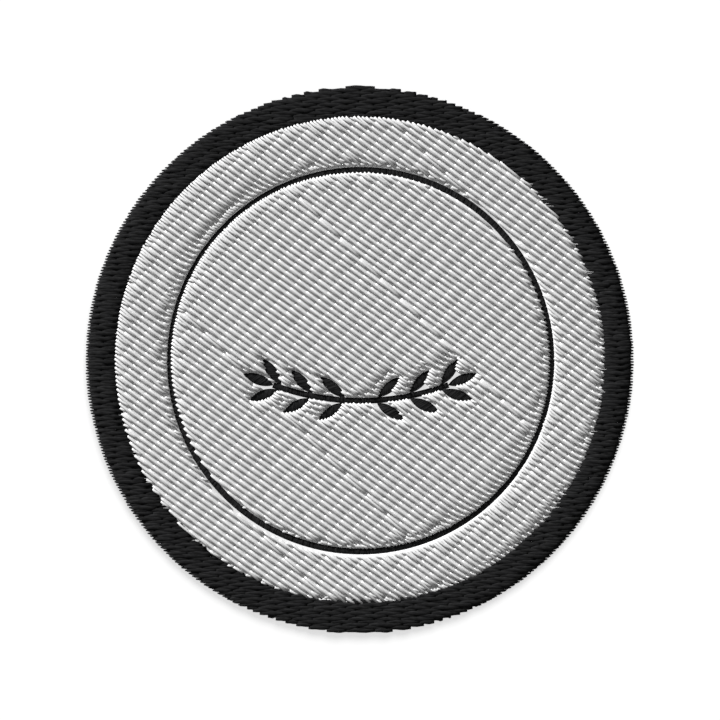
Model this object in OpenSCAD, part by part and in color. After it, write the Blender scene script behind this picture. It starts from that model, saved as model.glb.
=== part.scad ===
// Round embroidered patch, lying on its back with its stitched face up.
// Its origin is the centre of its flat back, +Z is the way the stitched face looks, and +Y is its top.
// The stitching stands on a round of twill cloth: a low black border, a raised white ring,
// a thin sunk black circle, and a raised white disc with a sunk black sprig in it.

/* [Patch] */
// Diameter over the stitched border
patch_d = 76.2; // [66:0.1:110]
// Thickness of the twill base cloth
cloth_t = 1; // [0.8:0.05:2]
// How far the border stitching stands out past the cut edge of the cloth
border_lip = 0.2; // [0.05:0.05:0.4]

/* [Border] */
// Width of the black stitched border
border_w = 3.9; // [2:0.1:6]
// Height of the border stitching above the cloth
border_h = 0.55; // [0.4:0.05:1]
// Radius that the top edges of the border roll over at
border_roll = 0.3; // [0.1:0.05:0.35]

/* [White fill] */
// Width of the raised white ring inside the border
ring_w = 7; // [4:0.1:9]
// Height of the white ring and disc above the cloth
fill_h = 0.9; // [0.7:0.05:1.5]
// Radius that the top edges of the white ring and disc roll over at
fill_roll = 0.6; // [0.2:0.05:0.65]

/* [Thin circle] */
// Width of the thin black circle between the ring and the disc
line_w = 0.75; // [0.5:0.05:1.5]
// Height of the thin circle above the cloth
line_h = 0.45; // [0.3:0.05:0.65]
// Rise of the thin circle's crown over its edges
line_crown = 0.12; // [0.05:0.01:0.2]

/* [Sprig] */
// White left between the tips of the sprig and the thin circle
sprig_margin = 10; // [6:0.5:12]
// Drop of the stem's lowest point below the centre of the patch
sprig_drop = 5.6; // [0:0.1:9]
// Rise of the sprig's tips above the stem's lowest point
sprig_rise = 4; // [1:0.1:6]
// Width of the stem
stem_w = 0.75; // [0.5:0.05:1.2]
// Length of one leaf
leaf_l = 4.4; // [3.4:0.1:5]
// Width of one leaf at its middle
leaf_w = 1.4; // [0.8:0.05:1.6]
// Distance from one pair of leaves to the next along the stem
leaf_pitch = 4.6; // [4:0.1:7]
// Angle between a leaf and the stem
leaf_splay = 36; // [30:1:45]
// Height of the stem and leaves above the cloth
sprig_h = 0.45; // [0.3:0.05:0.65]
// Rise of the crown of the stem and leaves over their edges
sprig_crown = 0.12; // [0.05:0.01:0.2]

/* [Clearances] */
// Gap between neighbouring areas of stitching
gap = 0.05; // [0.02:0.01:0.1]

/* [Hidden] */
$fn = 180;

patch_r = patch_d / 2;
border_in_r = patch_r - border_w;
ring_out_r = border_in_r - gap;
ring_in_r = ring_out_r - ring_w;
line_out_r = ring_in_r - gap;
line_in_r = line_out_r - line_w;
disc_r = line_in_r - gap;

// The stem is an arc of radius bend about [0, bend_y]. Angles along it run from its lowest point, in degrees.
reach = disc_r - sprig_margin;
bend = bow_r(2 * reach, sprig_rise);
bend_y = bend - sprig_drop;
stem_angle = asin(reach / bend) - arc_angle(leaf_l + gap);
first_pair = leaf_pitch / 2;
pairs = floor((arc_length(stem_angle) - first_pair) / leaf_pitch) + 1;

// A cutting tool runs this far past the face that it cuts
past = 0.5;

// Angle at the bend's centre of a length along the stem, and back
function arc_angle(length) = length / bend * 180 / PI;
function arc_length(angle) = angle * PI / 180 * bend;

// Radius of a circle that rises by rise over a chord
function bow_r(chord, rise) = (chord * chord / 4 + rise * rise) / (2 * rise);

// Section of a band whose two top edges roll over
module rolled_section(r_in, r_out, height, roll) {
    translate([r_in, 0]) square([r_out - r_in, height - roll]);
    translate([r_in + roll, 0]) square([r_out - r_in - 2 * roll, height]);
    intersection() {
        translate([r_in, 0]) square([r_out - r_in, height]);
        for (r = [r_in + roll, r_out - roll]) translate([r, height - roll]) circle(roll, $fn = 48);
    }
}

// Section of a narrow band with a crowned top
module crowned_section(r_in, r_out, height, crown) {
    bow = bow_r(r_out - r_in, crown);
    intersection() {
        translate([r_in, 0]) square([r_out - r_in, height]);
        translate([(r_in + r_out) / 2, height - bow]) circle(bow);
    }
}

module rolled_band(r_in, r_out, height, roll) {
    translate([0, 0, cloth_t]) rotate_extrude() rolled_section(r_in, r_out, height, roll);
}

// Moves its children to the bend's centre, turned so that +X is along the spoke at an angle from the lowest point
module at_spoke(angle) {
    translate([0, bend_y, cloth_t]) rotate([0, 0, angle - 90]) children();
}

// Puts its children at each leaf's foot, with +X along the leaf. side is 1 on the right half, and -1 on the left.
module at_leaves() {
    for (side = [-1, 1]) {
        at_spoke(side * (stem_angle + arc_angle(gap)))
            translate([bend, 0, 0])
                rotate([0, 0, side * 90]) children();
        for (pair = [0 : pairs - 1], edge = [-1, 1])
            at_spoke(side * arc_angle(first_pair + pair * leaf_pitch))
                translate([bend + edge * (stem_w / 2 + gap), 0, 0])
                    rotate([0, 0, side * (90 - edge * leaf_splay)]) children();
    }
}

// A pointed leaf that stands on z = 0, grown all round by grow
module leaf(height, grow = 0) {
    bow = bow_r(leaf_l, leaf_w / 2);
    intersection_for(side = [-1, 1])
        translate([leaf_l / 2, side * (bow - leaf_w / 2), 0])
            cylinder(h = height, r = bow + grow);
}

module base_cloth() {
    color("#202022") cylinder(h = cloth_t, r = patch_r - border_lip);
}

module border() {
    color("#1b1b1c") rolled_band(border_in_r, patch_r, border_h, border_roll);
}

module ring_fill() {
    color("#eeeeec") rolled_band(ring_in_r, ring_out_r, fill_h, fill_roll);
}

module ring_line() {
    color("#1b1b1c") translate([0, 0, cloth_t]) rotate_extrude()
        crowned_section(line_in_r, line_out_r, line_h, line_crown);
}

module disc_fill() {
    color("#eeeeec") difference() {
        translate([0, 0, cloth_t]) rotate_extrude() intersection() {
            rolled_section(-disc_r, disc_r, fill_h, fill_roll);
            square([disc_r, fill_h]);
        }
        sprig_pocket();
    }
}

// What the sprig takes out of the white disc, with walls that stand a gap off it
module sprig_pocket() {
    depth = fill_h + 2 * past;
    at_leaves() translate([0, 0, -past]) leaf(depth, gap);
    end_angle = stem_angle + arc_angle(gap);
    at_spoke(-end_angle) rotate_extrude(angle = 2 * end_angle)
        translate([bend - stem_w / 2 - gap, -past]) square([stem_w + 2 * gap, depth]);
}

module sprig_stem() {
    color("#1b1b1c") at_spoke(-stem_angle) rotate_extrude(angle = 2 * stem_angle)
        crowned_section(bend - stem_w / 2, bend + stem_w / 2, sprig_h, sprig_crown);
}

module sprig_leaves() {
    bow = bow_r(leaf_w, sprig_crown);
    color("#1b1b1c") at_leaves() intersection() {
        leaf(sprig_h);
        translate([-past, 0, sprig_h - bow]) rotate([0, 90, 0]) cylinder(h = leaf_l + 2 * past, r = bow);
    }
}

base_cloth();
border();
ring_fill();
ring_line();
disc_fill();
sprig_stem();
sprig_leaves();
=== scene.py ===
import math

import bmesh
import bpy
import numpy as np
from bpy.props import FloatProperty, FloatVectorProperty, IntProperty, PointerProperty
from bpy.types import Operator, Panel, PropertyGroup
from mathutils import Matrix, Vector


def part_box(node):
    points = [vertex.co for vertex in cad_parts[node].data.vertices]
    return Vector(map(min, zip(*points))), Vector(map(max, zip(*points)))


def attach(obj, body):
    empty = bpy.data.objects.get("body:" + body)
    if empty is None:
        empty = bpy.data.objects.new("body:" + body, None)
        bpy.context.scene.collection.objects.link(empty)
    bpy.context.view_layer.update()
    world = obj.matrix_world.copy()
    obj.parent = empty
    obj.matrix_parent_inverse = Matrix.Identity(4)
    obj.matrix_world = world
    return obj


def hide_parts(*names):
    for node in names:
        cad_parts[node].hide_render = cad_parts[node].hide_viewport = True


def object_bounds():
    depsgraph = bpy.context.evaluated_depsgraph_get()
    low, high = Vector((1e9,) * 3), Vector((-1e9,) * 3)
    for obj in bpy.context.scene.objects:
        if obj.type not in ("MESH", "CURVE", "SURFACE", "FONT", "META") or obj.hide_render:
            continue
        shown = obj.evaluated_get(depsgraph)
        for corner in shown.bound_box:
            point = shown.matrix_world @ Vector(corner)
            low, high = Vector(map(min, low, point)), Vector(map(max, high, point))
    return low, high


bl_info = {
    "name": "Embroidered Patch",
    "version": (1, 0, 0),
    "blender": (4, 5, 0),
    "location": "3D View > Sidebar > Patch",
    "description": "Stitches a round patch over its packed solids and lays it on a pale floor",
    "category": "Add Mesh",
}

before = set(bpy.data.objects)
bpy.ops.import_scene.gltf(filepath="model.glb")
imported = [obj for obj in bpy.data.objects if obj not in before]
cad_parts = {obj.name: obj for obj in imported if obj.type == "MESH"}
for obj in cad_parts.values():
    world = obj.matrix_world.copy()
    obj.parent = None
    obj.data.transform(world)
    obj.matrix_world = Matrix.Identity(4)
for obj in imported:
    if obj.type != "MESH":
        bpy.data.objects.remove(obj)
CAD_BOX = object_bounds()

MM = 0.001
# Gap between neighbouring solids
GAP = 0.05 * MM
# How far inside the edge of a white area its rows are cut, before they reach past it
EDGE = 0.1 * MM
# How far the white stitches pull what lies under them to the side that they end at
BED_PULL = (0.11 * MM, -0.11 * MM)
CLOTH_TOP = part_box("base_cloth")[1].z
CLOTH_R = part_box("base_cloth")[1].x
RIM_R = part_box("border")[1].x
RING_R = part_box("ring_fill")[1].x
LINE_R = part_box("ring_line")[1].x
DISC_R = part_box("disc_fill")[1].x

# How steeply a stitch rises to its left, as it lies on the stitch to its right
LEAN = 0.3
BORDER_LEAN = 0.1
# Stitches shorter than this stand up less
FULL_STAND_LENGTH = 2.4 * MM
# Shares of their height that the areas under the stitches are pressed down to
WHITE_BED = 0.25
BORDER_BED = 0.4
# Width of the rim that is drawn in or out when an area is pressed down
BED_RIM = 1.5 * MM

# Height above the cloth that each kind of stitch lies at, where its area is lowest
WHITE_GROUND = 0.22 * MM
BORDER_GROUND = 0.02 * MM
SPRIG_GROUND = 0.04 * MM
THREAD_END_GROUND = 0.42 * MM

# Step at which a row is followed over its area to find where it starts and ends
WALK_STEP = 0.02 * MM
# A row shorter than this gets no stitches
SHORTEST_ROW = 0.6 * MM
# The first hole in a row is at least this share of a stitch from the row's start
FIRST_HOLE_SHARE = 0.16
# Nearest that a strayed hole may come to either end of its row
HOLE_MARGIN = 0.4 * MM
# Room that a last stitch needs in its row, and the limits that its length varies between, as shares of it
LAST_STITCH_ROOM = 2.5
LAST_STITCH_SHARES = (0.5, 1.5)
# Spread of the places where the rows end, and of the holes to both sides of their row
END_SPREAD = 0.03 * MM
SIDE_SPREAD = 0.014 * MM
# Spread of the stitches' widths, as a share of the thread's width, and of their heights
WIDTH_SPREAD = 0.05
LIFT_SPREAD = 0.018 * MM

# Distance between satin stitches, and how much further along the band each ends than it starts
SATIN_PITCH = 0.25 * MM
SATIN_SLANT = 0.2 * MM

# Reach of the border's rows where they start and end, less than nothing as they stop short, and how far their
# holes stray along them
BORDER_REACH = (-0.2 * MM, -0.26 * MM)
BORDER_STRAY = 0.35 * MM
# How far the border's tips start inside the end of a row, and how far they run past it at left and right
TIP_START = 0.5 * MM
TIP_LEFT = 0.46 * MM
TIP_RIGHT = 0.43 * MM
# Share of the patch's radius, up and down, within which the rows have tips
TIP_ZONE = 0.9

FLOOR_WIDTH = 1.2
# How far the floor is below the patch's back, so that the two never coincide
FLOOR_DROP = 0.02 * MM
CAMERA_HEIGHT = 0.56
SENSOR_WIDTH = 36
# Width of what the camera sees at the top of the patch
VIEW_WIDTH = 0.1007

# Each line of a stitch's table is one ring round the thread, from the needle hole that it starts at to the
# one that it ends in: its place along the stitch, its shift to the left, the lift of its middle, its width
# and its height. The place is a share of the stitch's length, and the others are shares of the thread's
# width. A border stitch runs a little past both of its holes, so that it meets the next one.
LONG_STITCH = (
    (0.00, -0.30, 0.40, 0.70, 0.40),
    (0.10, -0.30, 0.60, 0.80, 0.60),
    (0.30, -0.20, 0.60, 0.80, 0.70),
    (0.50, 0.00, 0.60, 0.80, 0.70),
    (0.70, 0.20, 0.40, 0.80, 0.70),
    (0.90, 0.30, 0.20, 0.80, 0.50),
    (1.00, 0.30, -0.40, 0.70, 0.40),
)
BORDER_STITCH = (
    (-0.05, 0.00, 0.30, 1.00, 0.40),
    (0.10, 0.00, 0.50, 1.20, 0.50),
    (0.30, 0.10, 0.60, 1.40, 0.60),
    (0.50, 0.00, 0.60, 1.50, 0.60),
    (0.70, -0.10, 0.60, 1.40, 0.60),
    (0.90, 0.00, 0.50, 1.20, 0.50),
    (1.05, 0.00, 0.30, 1.00, 0.40),
)
BORDER_TIP = (
    (0.00, 0.00, 0.30, 0.80, 0.40),
    (0.25, 0.00, 0.32, 0.85, 0.50),
    (0.50, 0.00, 0.25, 0.75, 0.50),
    (0.75, 0.00, 0.10, 0.68, 0.45),
    (1.00, 0.00, -0.20, 0.42, 0.25),
)
SHORT_STITCH = (
    (0.00, 0.00, -0.10, 0.70, 0.50),
    (0.12, 0.00, 0.08, 0.95, 0.70),
    (0.35, 0.00, 0.18, 1.05, 0.75),
    (0.65, 0.00, 0.18, 1.05, 0.75),
    (0.88, 0.00, 0.08, 0.95, 0.70),
    (1.00, 0.00, -0.10, 0.70, 0.50),
)
THREAD_END = (
    (0.00, 0.00, -0.60, 0.60, 0.60),
    (0.15, 0.00, 0.10, 1.00, 0.80),
    (0.45, 0.15, 0.35, 1.00, 0.80),
    (0.75, -0.10, 0.30, 0.85, 0.70),
    (1.00, 0.20, 0.00, 0.30, 0.30),
)


class PatchSizes(PropertyGroup):
    row_pitch: FloatProperty(
        name="Row Pitch", description="Distance from one row of stitches to the next",
        default=0.4 * MM, unit="LENGTH", precision=6)
    border_pitch: FloatProperty(
        name="Border Pitch", description="Distance from one row of stitches to the next in the border",
        default=0.4 * MM, unit="LENGTH", precision=6)
    stitch_length: FloatProperty(
        name="Stitch Length", description="Distance between the needle holes of one row",
        default=4 * MM, unit="LENGTH", precision=6)
    last_stitch: FloatProperty(
        name="Last Stitch", description="Length of the stitch that every second row of the white ends in",
        default=0.4 * MM, unit="LENGTH", precision=6)
    thread_width: FloatProperty(
        name="Thread Width", description="Width of a thread where it lies flat",
        default=0.44 * MM, unit="LENGTH", precision=6)
    thread_end_width: FloatProperty(
        name="Thread End Width", description="Width of an end of thread that sticks out over the border",
        default=0.07 * MM, unit="LENGTH", precision=6)
    white_angle: FloatProperty(
        name="White Angle", description="Direction that the white stitches run in",
        default=math.radians(-45), subtype="ANGLE")
    white_roll: FloatProperty(
        name="White Roll", description="Width over which the white areas roll down to their edges",
        default=2.8 * MM, unit="LENGTH", precision=6)
    white_rise: FloatProperty(
        name="White Rise",
        description="Height that the white areas gain from their edges to their level part",
        default=0.13 * MM, unit="LENGTH", precision=6)
    start_reach: FloatProperty(
        name="Start Reach", description="How far past the edge of its area a row of white stitches starts",
        default=0.2 * MM, unit="LENGTH", precision=6)
    end_reach: FloatProperty(
        name="End Reach", description="How far past the edge of its area a row of white stitches ends",
        default=0.4 * MM, unit="LENGTH", precision=6)
    seed: IntProperty(
        name="Seed", description="Start of the random numbers that make the stitches uneven",
        default=7)


class PatchColours(PropertyGroup):
    white: FloatVectorProperty(
        name="White Thread", description="Colour of the white thread",
        default=(0.78, 0.78, 0.78), subtype="COLOR")
    black: FloatVectorProperty(
        name="Black Thread", description="Colour of the black thread",
        default=(0.017, 0.017, 0.0175), subtype="COLOR")
    twill: FloatVectorProperty(
        name="Twill", description="Colour of the cloth",
        default=(0.022, 0.022, 0.024), subtype="COLOR")
    floor: FloatVectorProperty(
        name="Floor", description="Colour of the floor",
        default=(0.95, 0.95, 0.95), subtype="COLOR")


class Wire:
    """A shader socket that can be used in a sum."""

    def __init__(self, shader, socket):
        self.shader = shader
        self.socket = socket

    def math(self, operation, first, second=0.0):
        return self.shader.node("ShaderNodeMath", {"operation": operation}, {0: first, 1: second})

    def __add__(self, other):
        return self.math("ADD", self, other)

    __radd__ = __add__

    def __sub__(self, other):
        return self.math("SUBTRACT", self, other)

    def __rsub__(self, other):
        return self.math("SUBTRACT", other, self)

    def __mul__(self, other):
        return self.math("MULTIPLY", self, other)

    __rmul__ = __mul__


class Shader:
    """A new material, its Principled shader, and a short way to add nodes to it."""

    def __init__(self, name, **fixed):
        self.material = bpy.data.materials.new(name)
        self.material.use_nodes = True
        self.tree = self.material.node_tree
        self.surface = self.tree.nodes["Principled BSDF"]
        for socket, value in fixed.items():
            self.surface.inputs[socket.replace("_", " ")].default_value = value

    def feed(self, socket, value):
        if isinstance(value, Wire):
            self.tree.links.new(value.socket, socket)
        else:
            socket.default_value = value

    def node(self, kind, settings, inputs, output=0):
        made = self.tree.nodes.new(kind)
        for key, value in settings.items():
            setattr(made, key, value)
        for key, value in inputs.items():
            self.feed(made.inputs[key], value)
        return Wire(self, made.outputs[output])

    def part(self, vector, axis):
        return self.node("ShaderNodeSeparateXYZ", {}, {0: vector}, axis)

    def tint(self, colour, amount):
        """A colour made lighter or darker by an amount that varies."""
        grey = self.node("ShaderNodeCombineColor", {}, {0: amount, 1: amount, 2: amount})
        return self.node(
            "ShaderNodeMix", {"data_type": "RGBA", "blend_type": "MULTIPLY"},
            {0: 1.0, 6: (*colour, 1), 7: grey}, 2)

    def attribute(self, name):
        return self.node("ShaderNodeAttribute", {"attribute_name": name}, {}, "Fac")

    def finish(self, **inputs):
        for socket, value in inputs.items():
            self.feed(self.surface.inputs[socket.replace("_", " ")], value)
        return self.material


def thread_finish(name, colour, speckle, **fixed):
    """Satin thread: fine fibres that turn slowly round it, specks, and painted shade that darkens the second
    half of each stitch, where it dives to its needle hole.
    """
    made = bpy.data.materials.get(name)
    if made:
        return made
    shader = Shader(name, **fixed)
    place = shader.node("ShaderNodeUVMap", {"uv_map": "Thread"}, {})
    run, turn = shader.part(place, 0), shader.part(place, 1)
    tone, dip = shader.attribute("tone"), shader.attribute("dip")
    # Both noises are drawn out along the thread, and differ from stitch to stitch by its tone
    fibre_place = shader.node(
        "ShaderNodeCombineXYZ", {}, {0: run * 0.5, 1: (turn + run * 0.12) * 14.0, 2: tone * 40.0})
    fibre = shader.node("ShaderNodeTexNoise", {}, {"Vector": fibre_place, "Scale": 1.0, "Detail": 3.0})
    speck_place = shader.node(
        "ShaderNodeCombineXYZ", {}, {0: run * 1.3, 1: turn * 8.0, 2: tone * 70.0})
    speck = shader.node("ShaderNodeTexNoise", {}, {"Vector": speck_place, "Scale": 1.0, "Detail": 1.0})
    # The last factor is painted shade, up to three tenths darker over the second half of each stitch, where
    # it dives to its hole
    shade = (1.0 - tone * 0.1) * (0.93 + fibre * 0.14 + (speck - 0.5) * speckle) * (1.0 - dip * 0.3)
    bump = shader.node(
        "ShaderNodeBump", {}, {"Strength": 0.6, "Distance": 0.02 * MM, "Height": fibre})
    return shader.finish(Base_Color=shader.tint(colour, shade), Normal=bump)


def white_thread(colours):
    return thread_finish("white_satin", colours.white, 0.25, Roughness=0.5)


def black_thread(colours):
    return thread_finish("black_satin", colours.black, 1.6, Roughness=0.8, Specular_IOR_Level=0.02)


def twill_finish(name, colour):
    """Twill cloth: slanting ribs of yarn, broken up where the yarns of the other direction cross them."""
    shader = Shader(name, Roughness=0.85, Specular_IOR_Level=0.15)
    place = shader.node("ShaderNodeTexCoord", {}, {}, "Object")

    def waves(angle, period):
        across = shader.node(
            "ShaderNodeMapping", {}, {"Vector": place, "Rotation": (0, 0, math.radians(angle))})
        return shader.node("ShaderNodeTexWave", {}, {"Vector": across, "Scale": math.pi / 10 / period}, 1)

    yarn = shader.node("ShaderNodeTexNoise", {}, {"Vector": place, "Scale": 3000.0, "Detail": 2.0})
    height = waves(30, 0.8 * MM) * 0.55 + waves(90, 0.5 * MM) * 0.2 + yarn * 0.25
    bump = shader.node(
        "ShaderNodeBump", {}, {"Strength": 0.8, "Distance": 0.1 * MM, "Height": height})
    # The colour follows the height: painted shade in the grooves between the ribs and lighter crests, plus a
    # tone that differs at random from yarn to yarn
    return shader.finish(Base_Color=shader.tint(colour, 0.5 + height), Normal=bump)


def floor_finish(name, colour):
    """Smooth pale board, lit a little from below, with a very faint grain."""
    shader = Shader(name, Roughness=0.9, Emission_Color=(1, 1, 1, 1), Emission_Strength=0.585)
    place = shader.node("ShaderNodeTexCoord", {}, {}, "Object")
    grain = shader.node("ShaderNodeTexNoise", {}, {"Vector": place, "Scale": 900.0})
    return shader.finish(Base_Color=shader.tint(colour, 0.99 + grain * 0.02))


def deselect():
    if bpy.context.mode != "OBJECT":
        bpy.ops.object.mode_set(mode="OBJECT")
    bpy.ops.object.select_all(action="DESELECT")


def pick(obj, wanted, kind="verts"):
    """In edit mode, selects only the vertices, edges or faces that the test wants."""
    bpy.ops.mesh.select_all(action="DESELECT")
    shape = bmesh.from_edit_mesh(obj.data)
    parts = getattr(shape, kind)
    parts.ensure_lookup_table()
    for part in parts:
        if wanted(part):
            part.select_set(True)
    bmesh.update_edit_mesh(obj.data)


def stitch_template(rings, sides=8):
    """One stitch of unit length and width, lying along X: a bar whose rings are sized and moved in turn."""
    deselect()
    bpy.ops.mesh.primitive_cylinder_add(
        vertices=sides, radius=0.5, depth=1, end_fill_type="NGON", calc_uvs=True,
        location=(0.5, 0, 0), rotation=(0, math.pi / 2, 0))
    bar = bpy.context.object
    bpy.ops.object.transform_apply(location=True, rotation=True, scale=True)
    bpy.ops.object.mode_set(mode="EDIT")
    bpy.context.tool_settings.mesh_select_mode = (False, True, False)
    pick(bar, lambda edge: abs(edge.verts[0].co.x - edge.verts[1].co.x) > 0.5, "edges")
    last = len(rings) - 1
    bpy.ops.mesh.subdivide(number_cuts=last - 1)
    bpy.ops.mesh.select_all(action="SELECT")
    bpy.ops.transform.rotate(value=math.pi / sides, orient_axis="X", center_override=(0, 0, 0))
    bpy.context.tool_settings.mesh_select_mode = (True, False, False)
    ring_of = {v.index: round(v.co.x * last) for v in bmesh.from_edit_mesh(bar.data).verts}
    for i, (place, aside, lift, width, height) in enumerate(rings):
        pick(bar, lambda vertex: ring_of[vertex.index] == i)
        bpy.ops.transform.resize(value=(1, width, height), center_override=(i / last, 0, 0))
        bpy.ops.transform.translate(value=(place - i / last, aside, lift))
    bpy.ops.object.mode_set(mode="OBJECT")
    return bar


def read_all(items, key, width, kind=float):
    values = np.empty(len(items) * width, kind)
    items.foreach_get(key, values)
    return values.reshape(-1, width) if width > 1 else values


def laid_stitches(name, rings, stitches, ground, material, lean=0):
    """Models one stitch, and lays a copy of it for each of the stitches over the ground, joined in one mesh.
    A stitch is its start x and y, its end x and y, its width, its lift and its tone. The lean is how steeply
    it rises to its left."""
    table = np.array(stitches)
    start, end = table[:, 0:2], table[:, 2:4]
    width, lift, tone = table[:, 4], table[:, 5], table[:, 6]
    run = end - start
    length = np.hypot(run[:, 0], run[:, 1])
    across = np.stack([-run[:, 1], run[:, 0]], 1) / length[:, None]

    template = stitch_template(rings)
    source = template.data
    points = read_all(source.vertices, "co", 3)
    corners = read_all(source.loops, "vertex_index", 1, np.int32)
    begins = read_all(source.polygons, "loop_start", 1, np.int32)
    sizes = read_all(source.polygons, "loop_total", 1, np.int32)
    turn = read_all(source.uv_layers[0].uv, "vector", 2)[:, 0]
    bpy.data.objects.remove(template)

    place = (start[:, None] + run[:, None] * points[None, :, 0, None]
             + across[:, None] * (points[None, :, 1] * width[:, None])[..., None])
    rise = points[:, 2] + points[:, 1] * lean
    stand = width * np.minimum(length / FULL_STAND_LENGTH, 1)
    height = ground(place[..., 0], place[..., 1]) + rise[None] * stand[:, None] + lift[:, None]
    count, each = len(table), len(points)
    mesh = bpy.data.meshes.new(name)
    mesh.vertices.add(count * each)
    mesh.vertices.foreach_set("co", np.concatenate([place, height[..., None]], 2).ravel())
    copy = np.arange(count, dtype=np.int32)[:, None]
    mesh.loops.add(count * len(corners))
    mesh.loops.foreach_set("vertex_index", (corners[None] + copy * each).ravel())
    mesh.polygons.add(count * len(begins))
    mesh.polygons.foreach_set("loop_start", (begins[None] + copy * len(corners)).ravel())
    mesh.polygons.foreach_set("loop_total", np.tile(sizes, count))
    mesh.polygons.foreach_set("use_smooth", np.ones(count * len(begins), bool))
    mesh.update(calc_edges=True)

    unrolled = np.empty((count, len(corners), 2))
    unrolled[..., 0] = points[corners, 0][None] * length[:, None] / MM
    unrolled[..., 1] = turn[None]
    mesh.uv_layers.new(name="Thread").uv.foreach_set("vector", unrolled.ravel())
    mesh.attributes.new("tone", "FLOAT", "POINT").data.foreach_set("value", np.repeat(tone, each))
    # Painted shade over the second half of each stitch, where it dives to its hole: it grows from nothing to
    # one over that half
    dip = np.clip(points[:, 0] * 2 - 0.9, 0, 1)
    mesh.attributes.new("dip", "FLOAT", "POINT").data.foreach_set("value", np.tile(dip, count))
    mesh.materials.append(material)
    piece = bpy.data.objects.new(name, mesh)
    bpy.context.scene.collection.objects.link(piece)
    return piece


def pressed_copy(name, node, share, inset, material, pull=(0, 0)):
    """What lies under a round area's stitches: a copy of its node's solid, merged, pressed down to a share of
    its height, and drawn in by the inset at its outer edge, or out where that is less than nothing. The pull
    moves all of it."""
    deselect()
    bed = bpy.data.objects.new(name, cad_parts[node].data.copy())
    bpy.context.scene.collection.objects.link(bed)
    bed.select_set(True)
    bpy.context.view_layer.objects.active = bed
    bpy.ops.object.mode_set(mode="EDIT")
    bpy.ops.mesh.select_all(action="SELECT")
    bpy.ops.mesh.remove_doubles(threshold=0.001 * MM)
    bpy.ops.transform.resize(value=(1, 1, share), center_override=(0, 0, CLOTH_TOP))
    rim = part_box(node)[1].x
    pick(bed, lambda vertex: math.hypot(vertex.co.x, vertex.co.y) > rim - BED_RIM)
    drawn_in = (rim - inset) / rim
    bpy.ops.transform.resize(value=(drawn_in, drawn_in, 1), center_override=(0, 0, 0))
    bpy.ops.mesh.select_all(action="SELECT")
    bpy.ops.transform.translate(value=(*pull, 0))
    bpy.ops.object.mode_set(mode="OBJECT")
    bed.data.materials.clear()
    bed.data.materials.append(material)
    return bed


def place_piece(piece, node):
    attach(piece, "root")
    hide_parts(node)


def roll(depth, width, rise):
    """Height that an area gains from its edge inwards, steep at the edge and level past the width."""
    share = np.clip(depth / width, 0, 1)
    return rise * (1 - (1 - share) ** 2)


def turned(x, y, angle):
    """How far points are along an angle, and how far across it."""
    return x * math.cos(angle) + y * math.sin(angle), y * math.cos(angle) - x * math.sin(angle)


def white_reach(sizes):
    return np.array([sizes.start_reach, sizes.end_reach])


def ring_depth(inner, outer):
    """How far points are inside a ring, from whichever edge is nearer."""
    def depth(x, y):
        r = np.hypot(x, y)
        return np.minimum(r - inner, outer - r)
    return depth


def rows(
        depth, angle, sizes, reach, rng, start=(0, 0), pitch=None, length=None, last_stitch=None,
        stray=0.05 * MM):
    """Straight rows of stitches over the area where the depth is more than nothing, each row half a stitch
    out of step with the next. The reach is how far a row runs past the area where it starts and ends. The
    start moves all rows along by a share of a stitch, and sideways by a share of a row. The stray is how far
    the holes lie from their places. Where a last stitch is given, every second row ends in one of about that
    length, if it has room."""
    pitch = pitch or sizes.row_pitch
    length = length or sizes.stitch_length
    forward = np.array([math.cos(angle), math.sin(angle)])
    sideways = np.array([-forward[1], forward[0]])
    walk = np.arange(-RIM_R - MM, RIM_R + MM, WALK_STEP)
    count = int(RIM_R / pitch) + 1
    made = []
    for row in range(-count, count + 1):
        offset = (row + start[1]) * pitch
        x, y = sideways[:, None] * offset + forward[:, None] * walk
        turns = np.flatnonzero(np.diff((depth(x, y) > 0).astype(int)))
        for a, b in zip(turns[::2], turns[1::2]):
            first, last = walk[a + 1], walk[b]
            if last - first < SHORTEST_ROW:
                continue
            phase = (row % 2 / 2 + start[0]) * length
            n_first = math.ceil((first - phase) / length + FIRST_HOLE_SHARE)
            n_last = math.floor((last - phase) / length)
            between = phase + np.arange(n_first, n_last + 1) * length
            between = between + rng.normal(0, stray, len(between))
            between = between[(between > first + HOLE_MARGIN) & (between < last - HOLE_MARGIN)]
            past_first, past_last = reach + rng.normal(0, END_SPREAD, 2)
            holes = [first - past_first, *between, last + past_last]
            if last_stitch and row % 2 and last - holes[-2] > LAST_STITCH_ROOM * last_stitch:
                holes.insert(-1, last - last_stitch * rng.uniform(*LAST_STITCH_SHARES))
            offsets = offset + rng.normal(0, SIDE_SPREAD, len(holes))
            ends = forward * np.array(holes)[:, None] + sideways * offsets[:, None]
            made += [(*start_at, *end_at) for start_at, end_at in zip(ends, ends[1:])]
    return made


def uneven(stitches, width, rng):
    """Gives each stitch a width, a lift and a tone, none quite like the next."""
    return [
        (*stitch, width * rng.normal(1, WIDTH_SPREAD), rng.normal(0, LIFT_SPREAD), rng.uniform())
        for stitch in stitches
    ]


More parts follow.
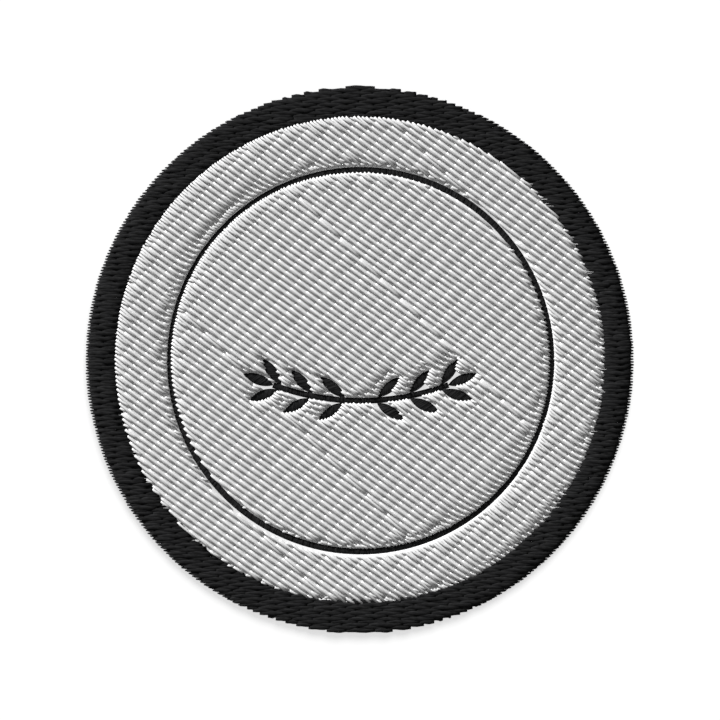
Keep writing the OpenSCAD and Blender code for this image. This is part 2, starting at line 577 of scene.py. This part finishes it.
class Sprig:
    """Where the stem and the leaves lie, from the same sizes as their solids."""

    margin = 10 * MM
    drop = 5.6 * MM
    rise = 4 * MM
    stem_w = 0.75 * MM
    leaf_l = 4.4 * MM
    leaf_w = 1.4 * MM
    leaf_pitch = 4.6 * MM
    leaf_splay = math.radians(36)

    def __init__(self):
        reach = DISC_R - self.margin
        self.bend = (reach ** 2 + self.rise ** 2) / (2 * self.rise)
        self.centre = np.array([0, self.bend - self.drop])
        self.end_angle = math.asin(reach / self.bend)
        self.half_angle = self.end_angle - (self.leaf_l + GAP) / self.bend
        pairs = int((self.half_angle * self.bend - self.leaf_pitch / 2) / self.leaf_pitch) + 1
        self.leaves = []
        for side in (-1, 1):
            self.add_leaf(side * (self.half_angle + GAP / self.bend), 0, side)
            for pair in range(pairs):
                for edge in (-1, 1):
                    self.add_leaf(side * (pair + 0.5) * self.leaf_pitch / self.bend, edge, side)

    def spoke(self, angle, radius):
        """The point at an angle from the stem's lowest point, and at a radius from the bend's centre."""
        return self.centre + radius * np.array([math.sin(angle), -math.cos(angle)])

    def add_leaf(self, angle, edge, side):
        foot = self.spoke(angle, self.bend + edge * (self.stem_w / 2 + GAP))
        turn = angle - math.pi / 2 + side * (math.pi / 2 - edge * self.leaf_splay)
        self.leaves.append((foot, turn))

    def leaf_gap(self, leaf, x, y):
        """Distance from a leaf's outline, and less than nothing inside it."""
        foot, turn = leaf
        along = (x - foot[0]) * math.cos(turn) + (y - foot[1]) * math.sin(turn)
        across = (y - foot[1]) * math.cos(turn) - (x - foot[0]) * math.sin(turn)
        bow = (self.leaf_l ** 2 + self.leaf_w ** 2) / (4 * self.leaf_w)
        return np.hypot(along - self.leaf_l / 2, np.abs(across) + bow - self.leaf_w / 2) - bow

    def stem_gap(self, x, y):
        dx, dy = x - self.centre[0], y - self.centre[1]
        angle = np.clip(np.arctan2(dx, -dy), -self.half_angle, self.half_angle)
        nearest_x = self.centre[0] + self.bend * np.sin(angle)
        nearest_y = self.centre[1] - self.bend * np.cos(angle)
        return np.hypot(x - nearest_x, y - nearest_y) - self.stem_w / 2

    def gap(self, x, y):
        found = self.stem_gap(x, y)
        for leaf in self.leaves:
            found = np.minimum(found, self.leaf_gap(leaf, x, y))
        return found


def satin_arc(centre, inner, outer, first, last, pitch, slant, rng):
    """Short stitches side by side across a curved band. Angles run from the band's lowest point."""
    count = round((last - first) * (inner + outer) / 2 / pitch)
    made = []
    for i in range(count):
        angle = first + (last - first) * (i + 0.5) / count
        a, b = angle + rng.normal(0, 0.02) * pitch / outer, angle + slant / outer
        r0, r1 = inner + rng.normal(0, 0.02 * MM), outer + rng.normal(0, 0.02 * MM)
        made.append((
            centre[0] + r0 * math.sin(a), centre[1] - r0 * math.cos(a),
            centre[0] + r1 * math.sin(b), centre[1] - r1 * math.cos(b)))
    return made


class PATCH_OT_base_cloth(Operator):
    """Cuts the round of twill that carries the stitching"""
    bl_idname = "patch.base_cloth"
    bl_label = "Base Cloth"

    def execute(self, context):
        deselect()
        bpy.ops.mesh.primitive_cylinder_add(
            vertices=256, radius=CLOTH_R, depth=CLOTH_TOP, end_fill_type="NGON",
            location=(0, 0, CLOTH_TOP / 2))
        cloth = context.object
        cloth.name = cloth.data.name = "base_cloth_twill"
        bpy.ops.object.transform_apply(location=True, rotation=True, scale=True)
        bpy.ops.object.mode_set(mode="EDIT")
        bpy.context.tool_settings.mesh_select_mode = (False, True, False)
        pick(cloth, lambda edge: abs(edge.verts[0].co.z - edge.verts[1].co.z) < 0.01 * MM, "edges")
        bpy.ops.mesh.bevel(offset=0.12 * MM, segments=3, profile=0.5)
        bpy.ops.object.mode_set(mode="OBJECT")
        bpy.ops.object.shade_smooth_by_angle(angle=math.radians(40))
        cloth.data.materials.append(twill_finish("woven_twill", context.scene.patch_colours.twill))
        place_piece(cloth, "base_cloth")
        return {"FINISHED"}


class PATCH_OT_border(Operator):
    """Stitches the black border"""
    bl_idname = "patch.border"
    bl_label = "Border"

    def execute(self, context):
        sizes, colours = context.scene.patch_sizes, context.scene.patch_colours
        rng = np.random.default_rng(sizes.seed)
        depth = ring_depth(RING_R - 0.3 * MM, RIM_R + 0.08 * MM)

        def ground(x, y):
            return CLOTH_TOP + BORDER_GROUND + roll(depth(x, y), 1.2 * MM, 0.1 * MM)

        reach = np.array(BORDER_REACH)
        made = rows(depth, 0, sizes, reach, rng, (0, 0.3), sizes.border_pitch, stray=BORDER_STRAY)
        # Rows of one or two long stitches, whose outer ends are where the tips stand
        whole_rows = rows(depth, 0, sizes, reach, rng, (0, 0.3), sizes.border_pitch, 8 * RIM_R)
        piece = laid_stitches(
            "border_stitches", BORDER_STITCH, uneven(made, sizes.thread_width, rng), ground,
            black_thread(colours), BORDER_LEAN)
        place_piece(piece, "border")
        tips = [(x0 + TIP_START, y0, x0 - TIP_LEFT, y0) for x0, y0, x1, y1 in whole_rows if x0 < 0]
        tips += [(x1 - TIP_START, y1, x1 + TIP_RIGHT, y1) for x0, y0, x1, y1 in whole_rows if x1 > 0]
        tips = [tip for tip in tips if math.hypot(*tip[:2]) > CLOTH_R - MM and abs(tip[1]) < TIP_ZONE * RIM_R]
        piece = laid_stitches(
            "border_tips", BORDER_TIP, uneven(tips, sizes.thread_width, rng), ground, black_thread(colours))
        place_piece(piece, "border")
        bed = pressed_copy("border_bed", "border", BORDER_BED, 0.3 * MM, black_thread(colours))
        place_piece(bed, "border")
        return {"FINISHED"}


class PATCH_OT_ring_fill(Operator):
    """Stitches the white ring"""
    bl_idname = "patch.ring_fill"
    bl_label = "Ring Fill"

    def execute(self, context):
        sizes, colours = context.scene.patch_sizes, context.scene.patch_colours
        rng = np.random.default_rng(sizes.seed + 1)
        depth = ring_depth(LINE_R + GAP + EDGE, RING_R - EDGE)

        def ground(x, y):
            return CLOTH_TOP + WHITE_GROUND + roll(depth(x, y) + EDGE, sizes.white_roll, sizes.white_rise)

        def half(x, y, right, clear):
            """Depth in the ring's lower right half, or in its upper left half, which is stitched apart. The
            clear is how much further from the thin circle than the ring's edge the half begins."""
            along, across = turned(x, y, sizes.white_angle)
            inside = (across > LINE_R) | ((across > -LINE_R) & (along > 0))
            inward = np.minimum(depth(x, y), np.hypot(x, y) - LINE_R - GAP - EDGE - clear)
            return np.where(inside == right, inward, -MM)

        for name, right, clear, start in (
            ("ring_stitches_left", False, 0.16 * MM, (0, 0)),
            ("ring_stitches_right", True, 0.23 * MM, (0.5, 0)),
        ):
            made = rows(
                lambda x, y: half(x, y, right, clear), sizes.white_angle, sizes,
                white_reach(sizes), rng, start, last_stitch=sizes.last_stitch)
            made = uneven(made, sizes.thread_width, rng)
            piece = laid_stitches(name, LONG_STITCH, made, ground, white_thread(colours), LEAN)
            place_piece(piece, "ring_fill")
        bed = pressed_copy("ring_bed", "ring_fill", WHITE_BED, -0.05 * MM, white_thread(colours), BED_PULL)
        place_piece(bed, "ring_fill")
        return {"FINISHED"}


class PATCH_OT_ring_line(Operator):
    """Stitches the thin black circle between the ring and the disc"""
    bl_idname = "patch.ring_line"
    bl_label = "Ring Line"

    def execute(self, context):
        sizes, colours = context.scene.patch_sizes, context.scene.patch_colours
        rng = np.random.default_rng(sizes.seed + 2)
        made = satin_arc((0, 0), DISC_R, LINE_R + GAP, 0, 2 * math.pi, SATIN_PITCH, SATIN_SLANT, rng)
        made = uneven(made, sizes.thread_width, rng)
        piece = laid_stitches(
            "ring_line_stitches", SHORT_STITCH, made, lambda x, y: CLOTH_TOP + 0 * x, black_thread(colours))
        place_piece(piece, "ring_line")
        return {"FINISHED"}


class PATCH_OT_disc_fill(Operator):
    """Stitches the white disc round the sprig, in three parts that meet in rows through the sprig's ends"""
    bl_idname = "patch.disc_fill"
    bl_label = "Disc Fill"

    def execute(self, context):
        sizes, colours = context.scene.patch_sizes, context.scene.patch_colours
        rng = np.random.default_rng(sizes.seed + 3)
        sprig = Sprig()

        def depth(x, y):
            return np.minimum(DISC_R - np.hypot(x, y), sprig.gap(x, y) - GAP) - EDGE

        def ground(x, y):
            rim = roll(DISC_R - np.hypot(x, y), sizes.white_roll, sizes.white_rise)
            pocket = roll(sprig.gap(x, y), 0.7 * MM, sizes.white_rise)
            return CLOTH_TOP + WHITE_GROUND + np.minimum(rim, pocket)

        rows_at_tips = [
            turned(*sprig.spoke(side * sprig.end_angle, sprig.bend), sizes.white_angle)[1] / sizes.row_pitch
            for side in (-1, 1)]
        first, last = math.ceil(rows_at_tips[0]), math.floor(rows_at_tips[1])
        for name, lowest, highest, start in (
            ("disc_stitches_left", -math.inf, first - 0.9, (0.5, 0)),
            ("disc_stitches_middle", first - 0.9, last + 0.1, (0, 0)),
            ("disc_stitches_right", last + 0.1, math.inf, (0.5, -0.3)),
        ):
            def part(x, y):
                row = turned(x, y, sizes.white_angle)[1] / sizes.row_pitch
                return np.where((row > lowest) & (row < highest), depth(x, y), -MM)

            made = rows(
                part, sizes.white_angle, sizes, white_reach(sizes), rng, start,
                last_stitch=sizes.last_stitch)
            made = uneven(made, sizes.thread_width, rng)
            piece = laid_stitches(name, LONG_STITCH, made, ground, white_thread(colours), LEAN)
            place_piece(piece, "disc_fill")
        bed = pressed_copy("disc_bed", "disc_fill", WHITE_BED, 0.02 * MM, white_thread(colours), BED_PULL)
        place_piece(bed, "disc_fill")
        return {"FINISHED"}


class PATCH_OT_sprig(Operator):
    """Stitches the black sprig: satin stitches across its stem and its leaves"""
    bl_idname = "patch.sprig"
    bl_label = "Sprig"

    def execute(self, context):
        sizes, colours = context.scene.patch_sizes, context.scene.patch_colours
        rng = np.random.default_rng(sizes.seed + 4)
        sprig = Sprig()

        def ground(x, y):
            return CLOTH_TOP + SPRIG_GROUND + 0 * x

        made = satin_arc(
            sprig.centre, sprig.bend - sprig.stem_w / 2, sprig.bend + sprig.stem_w / 2,
            -sprig.half_angle, sprig.half_angle, SATIN_PITCH, SATIN_SLANT, rng)
        made = uneven(made, sizes.thread_width, rng)
        stem = laid_stitches("sprig_stem_stitches", SHORT_STITCH, made, ground, black_thread(colours))
        place_piece(stem, "sprig_stem")
        made = []
        for leaf in sprig.leaves:
            made += rows(
                lambda x, y: 0.03 * MM - sprig.leaf_gap(leaf, x, y), leaf[1] + math.radians(55),
                sizes, np.zeros(2), rng, pitch=SATIN_PITCH, length=20 * MM)
        made = uneven(made, sizes.thread_width, rng)
        leaves = laid_stitches("sprig_leaf_stitches", SHORT_STITCH, made, ground, black_thread(colours))
        place_piece(leaves, "sprig_leaves")
        return {"FINISHED"}


class PATCH_OT_thread_ends(Operator):
    """Adds the ends of white thread that stick out over the border, level, at its two sides"""
    bl_idname = "patch.thread_ends"
    bl_label = "Thread Ends"

    def execute(self, context):
        sizes, colours = context.scene.patch_sizes, context.scene.patch_colours
        rng = np.random.default_rng(sizes.seed + 5)
        made = []
        for side, count, longest in ((-1, 14, 0.5 * MM), (1, 26, 1.2 * MM)):
            for angle in rng.uniform(math.radians(-48), math.radians(52), count):
                x, y = side * RING_R * math.cos(angle), RING_R * math.sin(angle)
                reach = rng.uniform(0.25 * MM, longest)
                made.append((x - side * 0.3 * MM, y, x + side * reach, y + rng.normal(0, 0.03 * MM),
                             sizes.thread_end_width * rng.uniform(0.7, 1.2), 0, rng.uniform()))

        def ground(x, y):
            return CLOTH_TOP + THREAD_END_GROUND + 0 * x

        piece = laid_stitches("thread_ends", THREAD_END, made, ground, white_thread(colours))
        place_piece(piece, "ring_fill")
        return {"FINISHED"}


class PATCH_OT_stage(Operator):
    """Sets the pale floor, the lights and the camera"""
    bl_idname = "patch.stage"
    bl_label = "Stage"

    def execute(self, context):
        deselect()
        bpy.ops.mesh.primitive_plane_add(size=FLOOR_WIDTH, location=(0, 0, -FLOOR_DROP))
        floor = context.object
        bpy.ops.object.transform_apply(location=True, rotation=True, scale=True)
        floor.name = "floor"
        floor.data.materials.append(floor_finish("floor", context.scene.patch_colours.floor))
        for name, azimuth, elevation, strength, angle, on_floor in (
            ("key_light", 131, 22, 6.2, 8, "EXCLUDE"),
            ("floor_light", 80, 45, 1.3, 40, "INCLUDE"),
        ):
            bpy.ops.object.light_add(
                type="SUN", rotation=(math.radians(90 - elevation), 0, math.radians(azimuth + 90)))
            light = context.object
            light.name = name
            light.data.energy = strength
            light.data.angle = math.radians(angle)
            lit = bpy.data.collections.new(name)
            lit.objects.link(floor)
            lit.collection_objects[0].light_linking.link_state = on_floor
            light.light_linking.receiver_collection = lit
        world = bpy.data.worlds.new("studio")
        world.use_nodes = True
        world.node_tree.nodes["Background"].inputs["Color"].default_value = (1, 1, 1, 1)
        world.node_tree.nodes["Background"].inputs["Strength"].default_value = 0.205
        context.scene.world = world
        bpy.ops.object.camera_add(location=(0, 0, CAMERA_HEIGHT + CAD_BOX[1].z))
        camera = context.object
        camera.name = "camera"
        camera.data.sensor_width = SENSOR_WIDTH
        camera.data.lens = SENSOR_WIDTH * CAMERA_HEIGHT / VIEW_WIDTH
        camera.data.clip_start = 0.01
        context.scene.camera = camera
        context.scene.view_settings.view_transform = "Standard"
        return {"FINISHED"}


class PATCH_PT_panel(Panel):
    """Lists the patch's pieces"""
    bl_idname = "PATCH_PT_panel"
    bl_label = "Embroidered Patch"
    bl_space_type = "VIEW_3D"
    bl_region_type = "UI"
    bl_category = "Patch"

    def draw(self, context):
        for group in (context.scene.patch_sizes, context.scene.patch_colours):
            for name in group.__annotations__:
                self.layout.prop(group, name)
        for operator in OPERATORS:
            self.layout.operator(operator.bl_idname)


OPERATORS = (
    PATCH_OT_base_cloth,
    PATCH_OT_border,
    PATCH_OT_ring_fill,
    PATCH_OT_ring_line,
    PATCH_OT_disc_fill,
    PATCH_OT_sprig,
    PATCH_OT_thread_ends,
    PATCH_OT_stage,
)
CLASSES = (PatchSizes, PatchColours, *OPERATORS, PATCH_PT_panel)


def register():
    for cls in CLASSES:
        bpy.utils.register_class(cls)
    bpy.types.Scene.patch_sizes = PointerProperty(type=PatchSizes)
    bpy.types.Scene.patch_colours = PointerProperty(type=PatchColours)


def unregister():
    del bpy.types.Scene.patch_sizes
    del bpy.types.Scene.patch_colours
    for cls in reversed(CLASSES):
        bpy.utils.unregister_class(cls)


def main():
    register()
    bpy.ops.patch.base_cloth()
    bpy.ops.patch.border()
    bpy.ops.patch.ring_fill()
    bpy.ops.patch.ring_line()
    bpy.ops.patch.disc_fill()
    bpy.ops.patch.sprig()
    bpy.ops.patch.thread_ends()
    bpy.ops.patch.stage()


if __name__ == "__main__":
    main()
